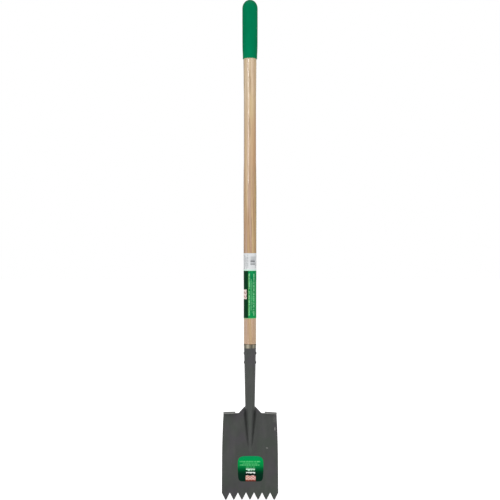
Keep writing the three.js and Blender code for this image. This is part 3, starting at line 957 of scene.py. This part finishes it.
def end_grip():
    low, high = grip_low.z, grip_high.z
    radius = (grip_high.x - grip_low.x) / 2
    dome = 26.0
    cap = 6.0  # the vinyl over the end of the bore, which slants in by as much
    lip = 1.1
    inner_lip = 0.7
    bore = handle_radius(low) + 0.05
    outer = arc((radius - 2.7, low + lip), lip, -90, 0, 5)
    for inwards, up in ((1.45, 6), (1.2, 14), (0.6, 26), (0.3, 38), (0.15, 70), (0, 110)):
        outer.append((radius - inwards, low + up))
    outer += arc((0, high - dome), radius, 0, 90, 20, dome)[:-1] + [(0, high)]
    inner = [(0, high - cap), (bore - cap, high - cap), (bore + 0.1, high - 20)]
    inner += [(bore, low + 20), (bore, low + 0.8)]
    inner += arc((bore + inner_lip, low + inner_lip), inner_lip, 180, 270, 4)
    bm = bmesh.new()
    turned_skin(bm, inner + outer, HANDLE_SEGMENTS, round_handle)
    piece = put_in_scene("end_sleeve", bm, green_vinyl())
    shade(piece)
    hand_over(piece, "end_grip")


RIVET_SEGMENTS = 32
RIGHT_HEAD_RADIUS = 4.4
LEFT_HEAD_RADIUS = 4.1
HEAD_IN_STEEL = 0.6
HEAD_SIDE = 0.2  # the share of a head's height below its dome


def rivet(node, name, material):
    """A rivet's two heads, pressed to the round of the steel. Its shank is out of sight and left out."""
    low, high = box_mm(node)
    centre_z = (low.z + high.z) / 2
    surface = socket_radius(centre_z)
    bm = bmesh.new()
    for side, reach, radius in ((1, high.x, RIGHT_HEAD_RADIUS), (-1, -low.x, LEFT_HEAD_RADIUS)):
        height = reach - surface - 0.05
        dome = arc((0, 0), radius, 0, 90, 8, height * (1 - HEAD_SIDE))
        profile = [(0, -HEAD_IN_STEEL), (radius * 0.96, -HEAD_IN_STEEL)]
        profile += [(r, height * HEAD_SIDE + h) for r, h in dome[:-1]] + [(0, height)]

        def place(r, turn, h):
            y, up = r * cos(turn), r * sin(turn)
            round_of_socket = sqrt(surface ** 2 - y ** 2)
            settle = lerp(round_of_socket, surface, clamp(h / height, 0, 1))
            return side * (settle + h), HANDLE_Y + y, centre_z + up

        turned_skin(bm, profile, RIVET_SEGMENTS, place)
    piece = put_in_scene(name, bm, material)
    shade(piece)
    hand_over(piece, node)


# ---------------------------------------------------------------- the labels
FILM = 0.12
LABEL_GAP = 0.1  # between the wood and the film
STICKER_NARROWING = 0.045
STICKER_GAP = 0.2  # from the steel's front face to the sticker's


def wrapped_label(node, name, material):
    """A printed band round the handle, whose ends meet at the back."""
    low, high = box_mm(node)
    bm = bmesh.new()
    outer_rows, inner_rows = [], []
    segments = 128
    for z in spread(low.z, high.z, 6):
        outer, inner = [], []
        for k in range(segments + 1):
            turn = pi + 2 * pi * k / segments
            radius = handle_radius(z) + LABEL_GAP
            outer.append(bm.verts.new(round_handle(radius + FILM, turn, z)))
            inner.append(bm.verts.new(round_handle(radius, turn, z)))
        outer_rows.append(outer)
        inner_rows.append(inner)
    grid_mesh(bm, outer_rows)
    grid_mesh(bm, [row[::-1] for row in inner_rows])
    grid_mesh(bm, [inner_rows[0], outer_rows[0]])
    grid_mesh(bm, [outer_rows[-1], inner_rows[-1]])
    for k in (0, -1):
        grid_mesh(bm, [[row[k] for row in rows] for rows in (outer_rows, inner_rows)])
    piece = put_in_scene(name, bm, material)
    shade(piece)
    hand_over(piece, node)


def blade_sticker():
    """The blade's sticker, with round corners, and a little narrower at its foot."""
    low, high = box_mm("blade_label")
    half_width = (high.x - low.x) / 2
    half_height = (high.z - low.z) / 2
    centre_x = (low.x + high.x) / 2
    centre_z = (low.z + high.z) / 2
    steps = 24
    bm = bmesh.new()
    rows = []
    for j in range(-steps, steps + 1):
        row = []
        for i in range(-steps, steps + 1):
            u, v = i / steps, j / steps
            squareness = 4.8 if v > 0 else 7.5  # the corners are rounder at the top
            round_ = (abs(u) ** squareness + abs(v) ** squareness) ** (1 / squareness)
            pull = max(abs(u), abs(v)) / round_ if round_ else 1
            narrowing = STICKER_NARROWING * smoothstep(-v, -0.2, 1)
            x = centre_x + half_width * u * pull * (1 - narrowing)
            z = centre_z + half_height * v * pull
            row.append(bm.verts.new((x, HANDLE_Y + wing_y(z) + dish_at(x) - STICKER_GAP, z)))
        rows.append(row)
    grid_mesh(bm, rows)
    piece = put_in_scene("blade_sticker", bm, blade_print(), closed=False)
    film = piece.modifiers.new("film", "SOLIDIFY")
    film.thickness = FILM * MM
    film.offset = -1
    apply_modifiers(piece)
    shade(piece)
    hand_over(piece, "blade_label")


# ---------------------------------------------------------------- camera, light and floor
CAMERA_DISTANCE = 2.8  # metres
CAMERA_HEIGHT = 0.739  # metres
LENS = 67.2
FLOOR_GAP = 0.2


def camera():
    data = bpy.data.cameras.new("camera")
    data.lens = LENS
    view = bpy.data.objects.new("camera", data)
    view.location = (0, HANDLE_Y * MM - CAMERA_DISTANCE, CAMERA_HEIGHT)
    view.rotation_euler = (radians(90), 0, 0)
    bpy.context.scene.collection.objects.link(view)
    bpy.context.scene.camera = view


def area_light(name, place, size, power, aim=(0, 0, 0.75)):
    data = bpy.data.lights.new(name, "AREA")
    data.shape = "RECTANGLE"
    data.size, data.size_y = size
    data.energy = power
    lamp = bpy.data.objects.new(name, data)
    lamp.location = place
    lamp.rotation_euler = (Vector(place) - Vector(aim)).to_track_quat("Z", "Y").to_euler()
    bpy.context.scene.collection.objects.link(lamp)


def white_room():
    """White to look at, and as a light brighter from the front and from above than from behind."""
    world = bpy.data.worlds.new("white_room")
    bpy.context.scene.world = world
    world.use_nodes = True
    n = Nodes(world.node_tree)
    _, y, z = n.axes(n.coordinates.outputs["Generated"])
    front = n.remap(y, -1.0, 0.3, 0.35, 0.0, smooth=True)
    above = n.remap(z, 0.1, 1.0, 0.0, 0.25, smooth=True)
    strength = n.plus(front, above, 0.12)
    seen = n.add("ShaderNodeLightPath").outputs["Is Camera Ray"]
    strength = n.math("MAXIMUM", strength, seen)
    background = world.node_tree.nodes["Background"]
    n.feed(background.inputs["Color"], (1, 1, 1, 1))
    n.feed(background.inputs["Strength"], strength)


def studio():
    white_room()
    area_light("key", (-1.26, -2.27, 1.78), (0.24, 1.25), 14, (0, 0, 1.4))
    area_light("fill", (1.6, -2.3, 1.1), (1.2, 1.8), 7.5)
    area_light("top", (0, -0.5, 3.2), (1.8, 1.8), 13)
    area_light("back", (1.2, 2.6, 2.0), (1.8, 1.8), 7)

    bm = bmesh.new()
    bmesh.ops.create_grid(bm, x_segments=1, y_segments=1, size=20000)
    white = Shader("floor").surface(
        Base_Color=(0.93, 0.93, 0.93, 1),
        Roughness=0.75,
        Emission_Color=(1, 1, 1, 1),
        Emission_Strength=0.8,
    )
    floor = put_in_scene("floor", bm, white)
    floor.location.z = (blade_low.z - FLOOR_GAP) * MM


camera()
studio()
blade = blade_and_socket()
handle_shaft()
end_grip()
rivet("upper_rivet", "rivet_upper", blade.data.materials[0])
rivet("lower_rivet", "rivet_lower", blade.data.materials[0])
wrapped_label("handle_label", "printed_label", handle_print())
wrapped_label("barcode_label", "barcode_sticker", barcode_print())
blade_sticker()

bpy.context.scene.view_settings.view_transform = "Standard"
